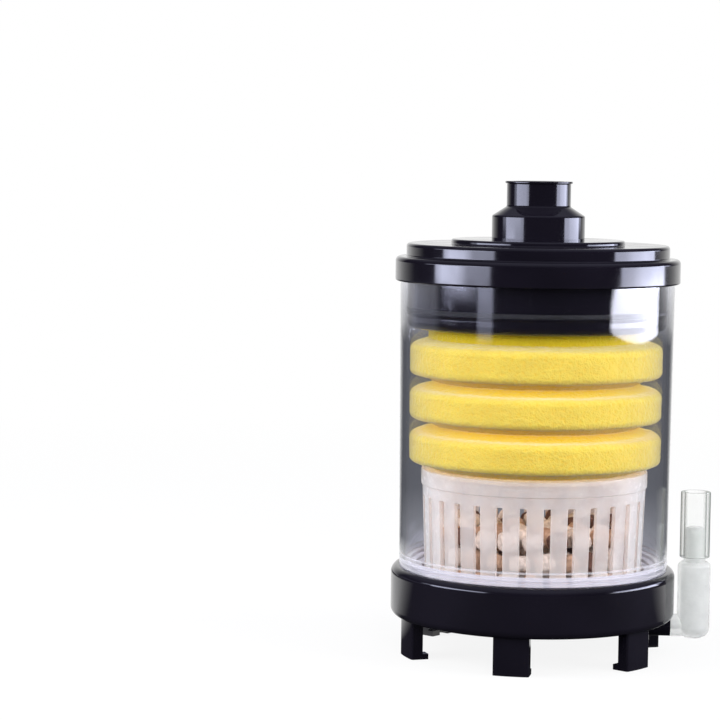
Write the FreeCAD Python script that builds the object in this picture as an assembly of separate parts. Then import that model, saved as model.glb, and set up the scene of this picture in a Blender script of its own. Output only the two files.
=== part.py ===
import FreeCAD, Part
import math
import os

# Canister filter for an aquarium. Millimetres, +Z up. The origin is on the canister's axis at the level
# that the feet stand on, and +X points to the side where the inlet elbow sits.

Vector = FreeCAD.Vector
UP = Vector(0, 0, 1)

# Clearances
slip_fit = 0.05
seat_gap = 0.05
loose_gap = 0.3

# Clear barrel: a moulded bucket that narrows towards its foot, with a stepped floor round a central well
barrel_top_diameter = 110.0
barrel_taper = 2.2
barrel_wall = 2.4
barrel_length = 134.0
barrel_rim_round = 0.6
well_inset = 9.3
well_wall = 2.0
well_floor = 2.4
step_count = 3
step_rise = 1.4
step_top_above_ring = 3.0

# Base ring, which the barrel stands in
ring_overhang = 2.25
ring_height = 20.0
ring_top_land = 0.2
ring_foot_round = 2.9
ring_skirt_wall = 3.0
ring_web_recess = 2.0
ring_web = 2.4
ring_shelf = 6.0

# Feet
foot_count = 6
foot_first_azimuth = -8.3
foot_height = 15.0
foot_width = 14.2
foot_depth = 5.0
foot_wall = 2.4
foot_flange = 2.0
foot_flange_reach = 8.4
foot_pad_height = 2.2
foot_pad_reach = 7.4
foot_round = 0.9

# Screws that hold the feet
screw_head_diameter = 4.4
screw_head_height = 1.6
screw_shank_diameter = 2.5
screw_length = 6.2
screw_inset = 5.2
screw_recess_width = 0.8

# Inlet fitting under the barrel, and the nut that clamps it through the floor
sump_radius = 13.0
sump_wall = 2.0
manifold_flange_radius = 24.0
manifold_flange = 2.4
manifold_neck_radius = 10.0
manifold_neck_wall = 2.4
inlet_pipe_diameter = 9.0
inlet_pipe_bore = 6.2
inlet_notch_depth = 1.4
washer_width = 5.4
washer_thickness = 1.6
nut_width = 4.6
nut_height = 3.8
nut_lugs = 8
nut_lug_reach = 1.6
nut_lug_width = 4.0

# Inlet elbow and riser tube
elbow_ring_gap = 1.25
elbow_leg_length = 9.3
elbow_body_diameter = 13.2
elbow_body_wall = 1.5
elbow_body_height = 31.0
elbow_sole_depth = 0.4
elbow_corner_round = 4.6
elbow_shoulder = 2.15
elbow_shoulder_land = 0.15
elbow_neck_wall = 1.2
elbow_neck_height = 14.7
elbow_neck_round = 3.4
elbow_spigot_length = 8.8
elbow_spigot_bore = 3.4
elbow_ring_groove_depth = 0.7
elbow_ring_groove_width = 1.6
elbow_ring_place = 3.0
riser_wall = 1.5
riser_start_gap = 1.8
riser_length = 26.5

# Lid
lid_rim_wall = 1.7
lid_rim_overlap = 7.2
lid_rim_cap = 0.95
lid_rim_top_round = 1.8
lid_rim_foot_round = 0.7
lid_step_inset = 4.35
lid_step_height = 5.3
lid_step_round = 1.3
lid_disc_inset = 17.9
lid_disc_height = 1.8
lid_disc_round = 0.9
lid_roof = 2.6
lid_plug_gap = 0.35
lid_plug_wall = 2.4
lid_plug_length = 13.0
lid_rib_count = 8
lid_rib_start = 3.0
lid_rib_thickness = 2.0
lid_rib_height = 7.0
gasket_height = 1.6
plug_ring_height = 2.0
plug_ring_depth = 1.4
plug_ring_rise = 1.0

# Stepped hose nozzle
nozzle_tail_diameter = 25.6
nozzle_tail_height = 9.2
nozzle_cone_height = 3.7
nozzle_foot_height = 9.5
nozzle_foot_reach = 3.8
nozzle_lip_reach = 0.7
nozzle_lip_height = 0.9
nozzle_wall = 2.6
nozzle_edge_round = 0.9
nozzle_spigot_step = 2.0
nozzle_spigot_length = 9.4
nozzle_ring_depth = 1.0
nozzle_ring_width = 1.8
nozzle_ring_place = 2.0
nozzle_nut_width = 4.4
nozzle_nut_height = 3.4

# Foam cartridge: head plate, core tube and three foam rings
head_plate_gap = 0.4
head_plate_height = 5.5
head_plate_floor = 2.2
head_plate_wall = 2.2
head_plate_round = 3.0
head_rib_start = 5.0
head_rib_count = 8
head_rib_thickness = 1.8
core_radius = 11.0
core_wall = 2.0
core_flange_reach = 13.0
core_flange = 2.0
core_top_stand = 4.4
core_slot_rings = 3
core_slot_count = 8
core_slot_width = 3.0
core_slot_height = 11.0
core_nut_width = 4.0
core_nut_height = 3.6
foam_count = 3
foam_height = 17.5
foam_gap = 1.12
foam_valley_depth = 9.5
foam_face_height = 11.9
foam_edge_round = 5.0
foam_neck_height = 4.0
foam_neck_depth = 7.2

# Media basket, its lid and the ceramic media
basket_well_gap = 1.4
basket_taper = 2.0
basket_wall = 1.8
basket_lip_height = 6.3
basket_lip_reach = 0.3
basket_lip_round = 0.6
basket_nut_gap = 0.9
basket_floor = 1.8
basket_slot_count = 30
basket_slot_width = 3.0
basket_slot_round = 0.8
basket_slot_azimuth = 7.0
basket_slot_margin = 4.3
basket_lid_thickness = 2.0
basket_ledge = 1.2
grate_slot_count = 12
grate_slot_inner = 15.0
grate_slot_inset = 6.2
grate_slot_width = 5.0
media_diameter = 9.2
media_height = 8.8
media_fill = 0.7
media_kinds = ("white", "tan", "brown")

# Levels that follow from the sizes above
ring_bottom = foot_height
ring_top = ring_bottom + ring_height
web_bottom = ring_bottom + ring_web_recess
web_top = web_bottom + ring_web
shelf_top = web_bottom + ring_shelf
barrel_top = shelf_top + barrel_length
well_bottom = web_top
well_top = well_bottom + well_floor
step_top = ring_top + step_top_above_ring
washer_top = well_top + washer_thickness
nut_top = washer_top + nut_height
neck_top = nut_top + 0.4
inlet_axis_height = ring_bottom + inlet_notch_depth - inlet_pipe_diameter / 2
manifold_bottom = inlet_axis_height - inlet_pipe_diameter / 2
elbow_body_bottom = manifold_bottom - elbow_sole_depth
elbow_body_top = elbow_body_bottom + elbow_body_height
elbow_neck_top = elbow_body_top + elbow_neck_height
riser_bottom = elbow_body_top + riser_start_gap
gasket_bottom = barrel_top + seat_gap
gasket_top = gasket_bottom + gasket_height
rim_bottom = barrel_top - lid_rim_overlap
rim_top = gasket_top + lid_rim_cap
lid_step_top = rim_top + lid_step_height
lid_disc_top = lid_step_top + lid_disc_height
roof_bottom = lid_step_top - lid_roof
plug_bottom = rim_bottom - lid_plug_length
head_top = plug_bottom - seat_gap
head_bottom = head_top - head_plate_height
foam_top = head_bottom - foam_neck_height
foam_bottom = foam_top - foam_count * foam_height
basket_top = foam_bottom - seat_gap
basket_bottom = well_top + 2 * seat_gap
basket_height = basket_top - basket_bottom
basket_floor_bottom = nut_top + basket_nut_gap
basket_floor_top = basket_floor_bottom + basket_floor
basket_ledge_height = basket_top - basket_lid_thickness
nozzle_cone_bottom = lid_disc_top + nozzle_foot_height
nozzle_cone_top = nozzle_cone_bottom + nozzle_cone_height
nozzle_lip_bottom = nozzle_cone_top + nozzle_tail_height
nozzle_top = nozzle_lip_bottom + nozzle_lip_height

# Radii and reaches that follow
barrel_radius = barrel_top_diameter / 2
well_radius = barrel_radius - barrel_taper / 2 - well_inset
ring_radius = barrel_radius + ring_overhang
elbow_radius = elbow_body_diameter / 2
elbow_neck_radius = elbow_radius - elbow_shoulder
elbow_offset = ring_radius + elbow_ring_gap + elbow_radius
inlet_reach = elbow_offset - elbow_leg_length
lid_rim_radius = barrel_radius + loose_gap + lid_rim_wall
lid_step_radius = lid_rim_radius - lid_step_inset
lid_disc_radius = lid_step_radius - lid_disc_inset
nozzle_tail_radius = nozzle_tail_diameter / 2
nozzle_spigot_radius = nozzle_tail_radius + nozzle_spigot_step
nozzle_foot_radius = nozzle_spigot_radius + nozzle_foot_reach
core_flange_radius = core_radius + core_flange_reach
basket_foot_radius = well_radius - basket_well_gap


def barrel_outer(z):
    """Outer radius of the tapered barrel at a height."""
    share = (z - shelf_top) / barrel_length
    return barrel_radius - barrel_taper / 2 * (1 - share)


def barrel_inner(z):
    """Inner radius of the barrel at a height."""
    return barrel_outer(z) - barrel_wall


def basket_outer(z):
    """Outer radius of the basket's tapered wall at a height."""
    share = (z - basket_bottom) / basket_height
    return basket_foot_radius + basket_taper * share


def rounded_face(corners):
    """Flat face in the XZ plane. Each corner is (radius, height) or (radius, height, rounding)."""
    points = [Vector(corner[0], 0, corner[1]) for corner in corners]
    rounds = [corner[2] if len(corner) > 2 else 0 for corner in corners]
    count = len(points)
    starts, ends, edges = [], [], []
    for i in range(count):
        to_last = (points[i - 1] - points[i]).normalize()
        to_next = (points[(i + 1) % count] - points[i]).normalize()
        if rounds[i] == 0:
            starts.append(points[i])
            ends.append(points[i])
            edges.append(None)
            continue
        half = to_last.getAngle(to_next) / 2
        reach = rounds[i] / math.tan(half)
        middle = (to_last + to_next).normalize()
        bulge = points[i] + middle * (rounds[i] / math.sin(half) - rounds[i])
        starts.append(points[i] + to_last * reach)
        ends.append(points[i] + to_next * reach)
        edges.append(Part.Arc(starts[i], bulge, ends[i]).toShape())
    outline = []
    for i in range(count):
        if edges[i] is not None:
            outline.append(edges[i])
        follower = starts[(i + 1) % count]
        if ends[i].distanceToPoint(follower) > 1e-6:
            outline.append(Part.LineSegment(ends[i], follower).toShape())
    return Part.Face(Part.Wire(outline))


def turned(corners, x=0.0):
    """Solid of revolution about a vertical axis at x, from a rounded profile."""
    solid = rounded_face(corners).revolve(Vector(0, 0, 0), UP, 360)
    solid.translate(Vector(x, 0, 0))
    return solid


def tube(inner, outer, bottom, top):
    """Plain upright ring."""
    return turned([(inner, bottom), (outer, bottom), (outer, top), (inner, top)])


def upright_cylinder(radius, bottom, top, x=0.0, y=0.0):
    return Part.makeCylinder(radius, top - bottom, Vector(x, y, bottom))


def pipe_along_x(radius, start, end, height):
    return Part.makeCylinder(radius, end - start, Vector(start, 0, height), Vector(1, 0, 0))


def block(x_low, x_high, width, bottom, top):
    """Box centred on the X axis."""
    return Part.makeBox(x_high - x_low, width, top - bottom, Vector(x_low, -width / 2, bottom))


def turned_copy(shape, degrees):
    """Copy turned about the canister's axis."""
    copy = shape.copy()
    copy.rotate(Vector(0, 0, 0), UP, degrees)
    return copy


def ring_of(shape, count, first=0.0):
    """Evenly spaced copies about the canister's axis."""
    return [turned_copy(shape, first + 360.0 * i / count) for i in range(count)]


def azimuth_angle(azimuth):
    """Angle about +Z from +X, for an azimuth counted from the front (-Y) towards +X."""
    return azimuth - 90.0


def make_base_ring():
    """Ring with a collar and a shelf for the barrel, a web under its well and a notch for the inlet pipe."""
    collar = barrel_outer(ring_top) + slip_fit
    shelf_inner = well_radius + well_wall + loose_gap
    skirt_inner = ring_radius - ring_skirt_wall
    hole = manifold_neck_radius + slip_fit
    top_round = ring_radius - collar - ring_top_land
    body = turned([
        (hole, web_bottom),
        (skirt_inner, web_bottom),
        (skirt_inner, ring_bottom),
        (ring_radius, ring_bottom, ring_foot_round),
        (ring_radius, ring_top, top_round),
        (collar, ring_top),
        (collar, shelf_top),
        (shelf_inner, shelf_top),
        (shelf_inner, web_top),
        (hole, web_top),
    ])
    pilot = upright_cylinder(screw_shank_diameter / 2, web_bottom - 1, web_bottom + screw_length,
                             foot_outer() - screw_inset)
    for hole_shape in ring_of(pilot, foot_count, azimuth_angle(foot_first_azimuth)):
        body = body.cut(hole_shape)
    notch = pipe_along_x(inlet_pipe_diameter / 2 + loose_gap, manifold_flange_radius, ring_radius + 1,
                         inlet_axis_height)
    return body.cut(notch)


def foot_outer():
    return ring_radius - ring_skirt_wall - loose_gap


def make_foot(azimuth):
    """Channel-shaped leg: curved outer face, open inner side, screw flange above and a pad below."""
    outer = foot_outer()
    leg = block(outer - foot_depth, outer + 1, foot_width, 0, web_bottom)
    leg = leg.fuse(block(outer - foot_flange_reach, outer, foot_width, web_bottom - foot_flange, web_bottom))
    leg = leg.fuse(block(outer - foot_pad_reach, outer, foot_width, 0, foot_pad_height))
    leg = leg.removeSplitter().common(upright_cylinder(outer, -1, web_bottom + 1))
    front_line = outer - foot_depth / 2
    upright = [e for e in leg.Edges if e.BoundBox.ZLength > foot_height / 2 and e.BoundBox.XMax > front_line]
    leg = leg.makeFillet(foot_round, upright)
    channel = block(outer - 2 * foot_depth, outer - foot_wall, foot_width - 2 * foot_wall,
                    foot_pad_height, web_bottom - foot_flange)
    leg = leg.cut(channel)
    shank_hole = screw_shank_diameter / 2 + slip_fit
    leg = leg.cut(upright_cylinder(shank_hole, 0, web_bottom + 1, outer - screw_inset))
    place = outer - screw_inset
    notch = screw_head_diameter / 2 + loose_gap
    leg = leg.cut(upright_cylinder(notch, -1, foot_pad_height + 1, place))
    leg = leg.cut(block(outer - 2 * foot_depth, place, 2 * notch, -1, foot_pad_height + 1))
    return turned_copy(leg, azimuth_angle(azimuth))


def make_foot_screws():
    """Pan-head screws with a cross recess, one up through each foot's flange."""
    place = foot_outer() - screw_inset
    head_top = web_bottom - foot_flange
    head_bottom = head_top - screw_head_height
    head = turned([
        (0, head_bottom),
        (screw_head_diameter / 2, head_bottom, 0.6),
        (screw_head_diameter / 2, head_top),
        (0, head_top),
    ], place)
    shank = upright_cylinder(screw_shank_diameter / 2, head_top, head_top + screw_length, place)
    screw = head.fuse(shank)
    cut_long = screw_head_diameter * 0.6
    bar = Part.makeBox(cut_long, screw_recess_width, 0.8,
                       Vector(place - cut_long / 2, -screw_recess_width / 2, head_bottom))
    cross_bar = bar.copy()
    cross_bar.rotate(Vector(place, 0, 0), UP, 90)
    screw = screw.cut(bar).cut(cross_bar)
    return Part.makeCompound(ring_of(screw, foot_count, azimuth_angle(foot_first_azimuth)))


def make_barrel():
    """Clear bucket. Its floor steps down from the wall to a well that the basket stands in."""
    step_run = (barrel_inner(step_top) - well_radius) / step_count
    skin = barrel_wall
    profile = [
        (barrel_outer(shelf_top), shelf_top, 0.4),
        (barrel_outer(barrel_top), barrel_top, barrel_rim_round),
        (barrel_inner(barrel_top), barrel_top, barrel_rim_round),
        (barrel_inner(step_top), step_top),
    ]
    for i in range(1, step_count + 1):
        radius = barrel_inner(step_top) - i * step_run
        level = step_top - (i - 1) * step_rise
        profile.append((radius, level, 0.5))
        if i < step_count:
            profile.append((radius, level - step_rise))
    under_step = step_top - (step_count - 1) * step_rise - skin
    profile += [
        (well_radius, well_top, 0.8),
        (manifold_neck_radius + slip_fit, well_top),
        (manifold_neck_radius + slip_fit, well_bottom),
        (well_radius + well_wall, well_bottom, 1.2),
        (well_radius + well_wall, under_step),
        (barrel_inner(shelf_top), under_step, 0.8),
        (barrel_inner(shelf_top), shelf_top),
    ]
    return turned(profile)


def make_inlet_manifold():
    """Sump with a flange below the web, a neck up through the floor and a pipe out to the side."""
    flange_bottom = web_bottom - manifold_flange
    bore = manifold_neck_radius - manifold_neck_wall
    body = turned([
        (0, manifold_bottom),
        (sump_radius, manifold_bottom, 1.2),
        (sump_radius, flange_bottom),
        (manifold_flange_radius, flange_bottom, 0.6),
        (manifold_flange_radius, web_bottom),
        (manifold_neck_radius, web_bottom),
        (manifold_neck_radius, neck_top, 0.5),
        (0, neck_top),
    ])
    pipe = pipe_along_x(inlet_pipe_diameter / 2, sump_radius - sump_wall, inlet_reach, inlet_axis_height)
    chamber = upright_cylinder(sump_radius - sump_wall, manifold_bottom + sump_wall, flange_bottom)
    body = body.fuse(pipe).cut(chamber).cut(upright_cylinder(bore, flange_bottom - 1, neck_top + 1))
    way_in = pipe_along_x(inlet_pipe_bore / 2, 0, inlet_reach + 1, inlet_axis_height)
    return body.cut(way_in).removeSplitter()


def lugged_nut(inner, width, bottom, height):
    """Round nut with square lugs round its rim."""
    outer = inner + width
    nut = tube(inner, outer, bottom, bottom + height)
    lug = block(outer - 1, outer + nut_lug_reach, nut_lug_width, bottom, bottom + height)
    for copy in ring_of(lug, nut_lugs):
        nut = nut.fuse(copy)
    return nut.removeSplitter()


def make_inlet_washer():
    inner = manifold_neck_radius + slip_fit
    return tube(inner, inner + washer_width, well_top, washer_top)


def make_inlet_nut():
    return lugged_nut(manifold_neck_radius + slip_fit, nut_width, washer_top, nut_height)


def spigot_radius():
    return inlet_pipe_bore / 2 - slip_fit


def elbow_ring_span():
    """Start and end of the seal groove along the elbow's spigot."""
    start = inlet_reach - elbow_spigot_length + elbow_ring_place
    return start, start + elbow_ring_groove_width


def make_elbow():
    """Elbow: upright body with round shoulders, a neck for the riser and a spigot into the inlet pipe."""
    shoulder_round = elbow_shoulder - elbow_shoulder_land
    outside = turned([
        (0, elbow_body_bottom),
        (elbow_radius, elbow_body_bottom, elbow_corner_round),
        (elbow_radius, elbow_body_top, shoulder_round),
        (elbow_neck_radius, elbow_body_top),
        (elbow_neck_radius, elbow_neck_top, elbow_neck_round),
        (0, elbow_neck_top),
    ], elbow_offset)
    leg = pipe_along_x(inlet_pipe_diameter / 2, inlet_reach + seat_gap, elbow_offset, inlet_axis_height)
    spigot_start = inlet_reach - elbow_spigot_length
    spigot = pipe_along_x(spigot_radius(), spigot_start, elbow_offset, inlet_axis_height)
    inside_radius = elbow_radius - elbow_body_wall
    neck_bore = elbow_neck_radius - elbow_neck_wall
    inside = turned([
        (0, elbow_body_bottom + elbow_body_wall),
        (inside_radius, elbow_body_bottom + elbow_body_wall, elbow_corner_round - elbow_body_wall),
        (inside_radius, elbow_body_top - elbow_body_wall, shoulder_round / 2),
        (neck_bore, elbow_body_top - elbow_body_wall),
        (neck_bore, elbow_neck_top + 1),
        (0, elbow_neck_top + 1),
    ], elbow_offset)
    elbow = outside.fuse(leg).fuse(spigot).removeSplitter().cut(inside)
    groove_start, groove_end = elbow_ring_span()
    groove = pipe_along_x(spigot_radius() + 1, groove_start, groove_end, inlet_axis_height)
    groove = groove.cut(pipe_along_x(spigot_radius() - elbow_ring_groove_depth, groove_start, groove_end,
                                     inlet_axis_height))
    way_in = pipe_along_x(elbow_spigot_bore / 2, spigot_start - 1, elbow_offset, inlet_axis_height)
    return elbow.cut(groove).cut(way_in)


def make_elbow_seal():
    """Rubber ring in the spigot's groove."""
    start, end = elbow_ring_span()
    outer = pipe_along_x(spigot_radius() + slip_fit / 2, start, end, inlet_axis_height)
    inner_radius = spigot_radius() - elbow_ring_groove_depth
    seal = outer.cut(pipe_along_x(inner_radius, start, end, inlet_axis_height))
    return seal


def make_riser_tube():
    inner = elbow_neck_radius + slip_fit
    top = riser_bottom + riser_length
    return turned([
        (inner, riser_bottom),
        (inner + riser_wall, riser_bottom, 0.3),
        (inner + riser_wall, top, 0.3),
        (inner, top),
    ], elbow_offset)


def plug_radius():
    """The plug clears the barrel at the narrowest place that it reaches."""
    return barrel_inner(plug_bottom) - lid_plug_gap


def plug_ring_bottom():
    return plug_bottom + plug_ring_rise


def make_lid():
    """Lid: rim over the barrel's edge, plug down inside it, two raised steps and a hole for the nozzle."""
    rim_inner = lid_rim_radius - lid_rim_wall
    plug = plug_radius()
    plug_inner = plug - lid_plug_wall
    hole = nozzle_spigot_radius + slip_fit
    ring_bottom_level = plug_ring_bottom()
    ring_top_level = ring_bottom_level + plug_ring_height
    body = turned([
        (lid_rim_radius, rim_bottom, lid_rim_foot_round),
        (lid_rim_radius, rim_top, lid_rim_top_round),
        (lid_step_radius, rim_top, 0.6),
        (lid_step_radius, lid_step_top, lid_step_round),
        (lid_disc_radius, lid_step_top, 0.4),
        (lid_disc_radius, lid_disc_top, lid_disc_round),
        (hole, lid_disc_top),
        (hole, roof_bottom),
        (plug_inner, roof_bottom, 1.5),
        (plug_inner, plug_bottom),
        (plug, plug_bottom, 0.6),
        (plug, ring_bottom_level),
        (plug - plug_ring_depth, ring_bottom_level),
        (plug - plug_ring_depth, ring_top_level),
        (plug, ring_top_level),
        (plug, gasket_top),
        (rim_inner, gasket_top),
        (rim_inner, rim_bottom),
    ])
    rib_start = nozzle_spigot_radius + nozzle_nut_width + lid_rib_start
    rib = block(rib_start, plug_inner + 0.5, lid_rib_thickness,
                roof_bottom - lid_rib_height, roof_bottom + 0.5)
    return body.fuse(ring_of(rib, lid_rib_count, 360.0 / lid_rib_count / 2)).removeSplitter()


def make_lid_gasket():
    """Flat ring between the barrel's edge and the lid."""
    outer = lid_rim_radius - lid_rim_wall - slip_fit
    return tube(plug_radius() + slip_fit, outer, gasket_bottom, gasket_top)


def make_plug_seal():
    """Square-section rubber ring round the plug, just clear of the barrel where the lid is seated."""
    bottom = plug_ring_bottom()
    outer = barrel_inner(bottom) - slip_fit
    return turned([
        (plug_radius() - plug_ring_depth, bottom),
        (outer, bottom, 0.5),
        (outer, bottom + plug_ring_height, 0.5),
        (plug_radius() - plug_ring_depth, bottom + plug_ring_height),
    ])


def nozzle_ring_level():
    return lid_disc_top - nozzle_ring_place - nozzle_ring_width


def make_nozzle():
    """Hose nozzle: wide foot, cone, hose tail and lip above the lid, and a spigot down through it."""
    tail = nozzle_tail_radius
    lip = tail + nozzle_lip_reach
    bore = tail - nozzle_wall
    ring_level = nozzle_ring_level()
    ring_radius_inner = nozzle_spigot_radius - nozzle_ring_depth
    return turned([
        (bore, lid_disc_top - nozzle_spigot_length),
        (nozzle_spigot_radius, lid_disc_top - nozzle_spigot_length, 0.4),
        (nozzle_spigot_radius, ring_level),
        (ring_radius_inner, ring_level),
        (ring_radius_inner, ring_level + nozzle_ring_width),
        (nozzle_spigot_radius, ring_level + nozzle_ring_width),
        (nozzle_spigot_radius, lid_disc_top),
        (nozzle_foot_radius, lid_disc_top),
        (nozzle_foot_radius, nozzle_cone_bottom, nozzle_edge_round),
        (tail, nozzle_cone_top, nozzle_edge_round),
        (tail, nozzle_lip_bottom),
        (lip, nozzle_lip_bottom, 0.3),
        (lip, nozzle_top, 0.3),
        (bore, nozzle_top, 0.5),
    ])


def make_nozzle_seal():
    level = nozzle_ring_level()
    inner = nozzle_spigot_radius - nozzle_ring_depth
    return tube(inner, nozzle_spigot_radius, level, level + nozzle_ring_width)


def make_nozzle_nut():
    return lugged_nut(nozzle_spigot_radius + slip_fit, nozzle_nut_width, roof_bottom - nozzle_nut_height,
                      nozzle_nut_height)


def make_head_plate():
    """Shallow dish on top of the foam: rim, floor, hub round the core tube and ribs between them."""
    outer = barrel_inner(head_bottom) - head_plate_gap
    floor_top = head_bottom + head_plate_floor
    hole = core_radius + slip_fit
    body = turned([
        (hole, head_bottom),
        (outer, head_bottom, head_plate_round),
        (outer, head_top, 0.5),
        (outer - head_plate_wall, head_top, 0.5),
        (outer - head_plate_wall, floor_top, 0.8),
        (hole, floor_top),
    ])
    rib_start = core_radius + core_nut_width + head_rib_start
    rib = block(rib_start, outer - head_plate_wall / 2, head_rib_thickness, floor_top - 0.5, head_top - 1.0)
    return body.fuse(ring_of(rib, head_rib_count)).removeSplitter()


def make_core_tube():
    """Slotted tube that carries the foam, closed by a flange at its foot."""
    top = head_bottom + head_plate_floor + core_top_stand
    body = turned([
        (0, foam_bottom),
        (core_flange_radius, foam_bottom, 0.5),
        (core_flange_radius, foam_bottom + core_flange, 0.5),
        (core_radius, foam_bottom + core_flange),
        (core_radius, top, 0.4),
        (core_radius - core_wall, top),
        (core_radius - core_wall, foam_bottom + core_flange),
        (0, foam_bottom + core_flange),
    ])
    for level in range(core_slot_rings):
        middle = foam_bottom + foam_height * (level + 0.5)
        half = core_slot_height / 2
        slot = block(0, core_radius + 1, core_slot_width, middle - half, middle + half)
        body = body.cut(Part.makeCompound(ring_of(slot, core_slot_count)))
    return body


def make_core_nut():
    floor_top = head_bottom + head_plate_floor
    inner = core_radius + slip_fit
    nut = tube(inner, inner + core_nut_width, floor_top, floor_top + core_nut_height)
    return nut


def make_foam(index):
    """Thick foam ring. Its ends taper in to a valley, and the lowest has a recess for the core's flange."""
    bottom = foam_bottom + index * foam_height
    top = bottom + foam_height
    taper = (foam_height - foam_face_height) / 2
    inner = core_radius + loose_gap
    outer = barrel_inner(foam_bottom) - foam_gap
    valley = outer - foam_valley_depth
    neck = outer - foam_neck_depth
    corners = [(valley, bottom)]
    corners.append((outer, bottom + taper, foam_edge_round))
    corners.append((outer, top - taper, foam_edge_round))
    corners.append((valley, top))
    if index == foam_count - 1:
        corners[-1] = (neck, top)
        corners.append((neck, head_bottom))
        corners.append((inner, head_bottom))
    else:
        corners.append((inner, top))
    if index == 0:
        corners.append((inner, bottom + core_flange))
        corners.append((core_flange_radius + loose_gap, bottom + core_flange))
        corners.append((core_flange_radius + loose_gap, bottom))
    else:
        corners.append((inner, bottom))
    return turned(corners)


def make_basket():
    """Tapered basket: tall slots between ribs, a plain lip and a slotted floor."""
    lip_bottom = basket_top - basket_lip_height
    ledge_radius = basket_outer(basket_ledge_height) - basket_wall
    recess_radius = ledge_radius + basket_ledge
    lip_radius = basket_outer(basket_top) + basket_lip_reach
    body = turned([
        (basket_outer(basket_bottom), basket_bottom),
        (basket_outer(lip_bottom), lip_bottom),
        (lip_radius, lip_bottom, 0.1),
        (lip_radius, basket_top, basket_lip_round),
        (recess_radius, basket_top),
        (recess_radius, basket_ledge_height),
        (ledge_radius, basket_ledge_height),
        (basket_outer(basket_floor_top) - basket_wall, basket_floor_top),
        (0, basket_floor_top),
        (0, basket_floor_bottom),
        (basket_outer(basket_floor_bottom) - basket_wall, basket_floor_bottom),
        (basket_outer(basket_bottom) - basket_wall, basket_bottom),
    ])
    slot_bottom = basket_floor_top + basket_slot_width / 2
    slot_top = lip_bottom - basket_slot_margin
    slot_start = basket_foot_radius - 3 * basket_wall
    slot = block(slot_start, lip_radius + 5, basket_slot_width, slot_bottom, slot_top)
    upper = [e for e in slot.Edges if e.BoundBox.ZMin > slot_top - 0.1 and e.BoundBox.YLength < 0.1]
    slot = slot.makeFillet(basket_slot_round, upper)
    first = azimuth_angle(basket_slot_azimuth)
    body = body.cut(Part.makeCompound(ring_of(slot, basket_slot_count, first)))
    return body.cut(grate_slots(basket_floor_bottom, basket_floor_top))


def grate_slots(bottom, top):
    """Radial slots through a plate of the basket."""
    slot_end = basket_foot_radius - grate_slot_inset
    slot = block(grate_slot_inner, slot_end, grate_slot_width, bottom - 1, top + 1)
    return Part.makeCompound(ring_of(slot, grate_slot_count))


def make_basket_lid():
    """Slotted disc that drops onto the ledge inside the basket's lip."""
    radius = basket_outer(basket_ledge_height) - basket_wall + basket_ledge - loose_gap / 2
    top = basket_ledge_height + basket_lid_thickness
    disc = turned([
        (0, basket_ledge_height),
        (radius, basket_ledge_height),
        (radius, top, 0.5),
        (0, top),
    ])
    return disc.cut(grate_slots(basket_ledge_height, top))


def media_ring_radii():
    """Radii of the rings that the ceramic pieces stand in, from the basket's wall inwards."""
    pitch = media_diameter + loose_gap
    radii = [basket_outer(basket_floor_top) - basket_wall - loose_gap - media_diameter / 2]
    while radii[-1] > 1.5 * pitch:
        radii.append(radii[-1] - pitch)
    return radii


def media_places():
    """Place and kind of each ceramic piece: upright rods stacked in rings on the basket's floor."""
    places = []
    turn = 0
    pitch = media_diameter + loose_gap
    layers = int(media_fill * (basket_ledge_height - basket_floor_top) / media_height)
    for layer in range(layers):
        level = basket_floor_top + layer * media_height
        for ring, radius in enumerate(media_ring_radii()):
            count = int(math.pi / math.asin(pitch / 2 / radius))
            for i in range(count):
                angle = 2 * math.pi * (i + 0.37 * ring) / count
                kind = media_kinds[(turn + turn // 4) % len(media_kinds)]
                places.append((radius * math.cos(angle), radius * math.sin(angle), level, kind))
                turn += 1
    return places


def make_media(kind):
    rods = []
    for x, y, level, rod_kind in media_places():
        if rod_kind == kind:
            rods.append(upright_cylinder(media_diameter / 2, level, level + media_height, x, y))
    return Part.makeCompound(rods)


def build():
    """Every piece, by node name."""
    pieces = {
        "base_ring": make_base_ring(),
        "foot_screws": make_foot_screws(),
        "barrel": make_barrel(),
        "inlet_manifold": make_inlet_manifold(),
        "inlet_washer": make_inlet_washer(),
        "inlet_nut": make_inlet_nut(),
        "elbow": make_elbow(),
        "elbow_seal": make_elbow_seal(),
        "riser_tube": make_riser_tube(),
        "lid": make_lid(),
        "lid_gasket": make_lid_gasket(),
        "plug_seal": make_plug_seal(),
        "nozzle": make_nozzle(),
        "nozzle_seal": make_nozzle_seal(),
        "nozzle_nut": make_nozzle_nut(),
        "head_plate": make_head_plate(),
        "core_tube": make_core_tube(),
        "core_nut": make_core_nut(),
        "media_basket": make_basket(),
        "basket_lid": make_basket_lid(),
    }
    for i in range(foot_count):
        pieces["foot_%d" % (i + 1)] = make_foot(foot_first_azimuth + 360.0 * i / foot_count)
    for i, name in enumerate(("lower_foam", "middle_foam", "upper_foam")):
        pieces[name] = make_foam(i)
    for kind in media_kinds:
        pieces["ceramic_media_" + kind] = make_media(kind)
    return pieces


os.makedirs("parts", exist_ok=True)
for name, shape in build().items():
    shape.exportStep("parts/%s.step" % name)
    print(name, "valid" if shape.isValid() else "INVALID", len(shape.Solids), round(shape.Volume, 1))
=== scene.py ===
import math

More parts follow.
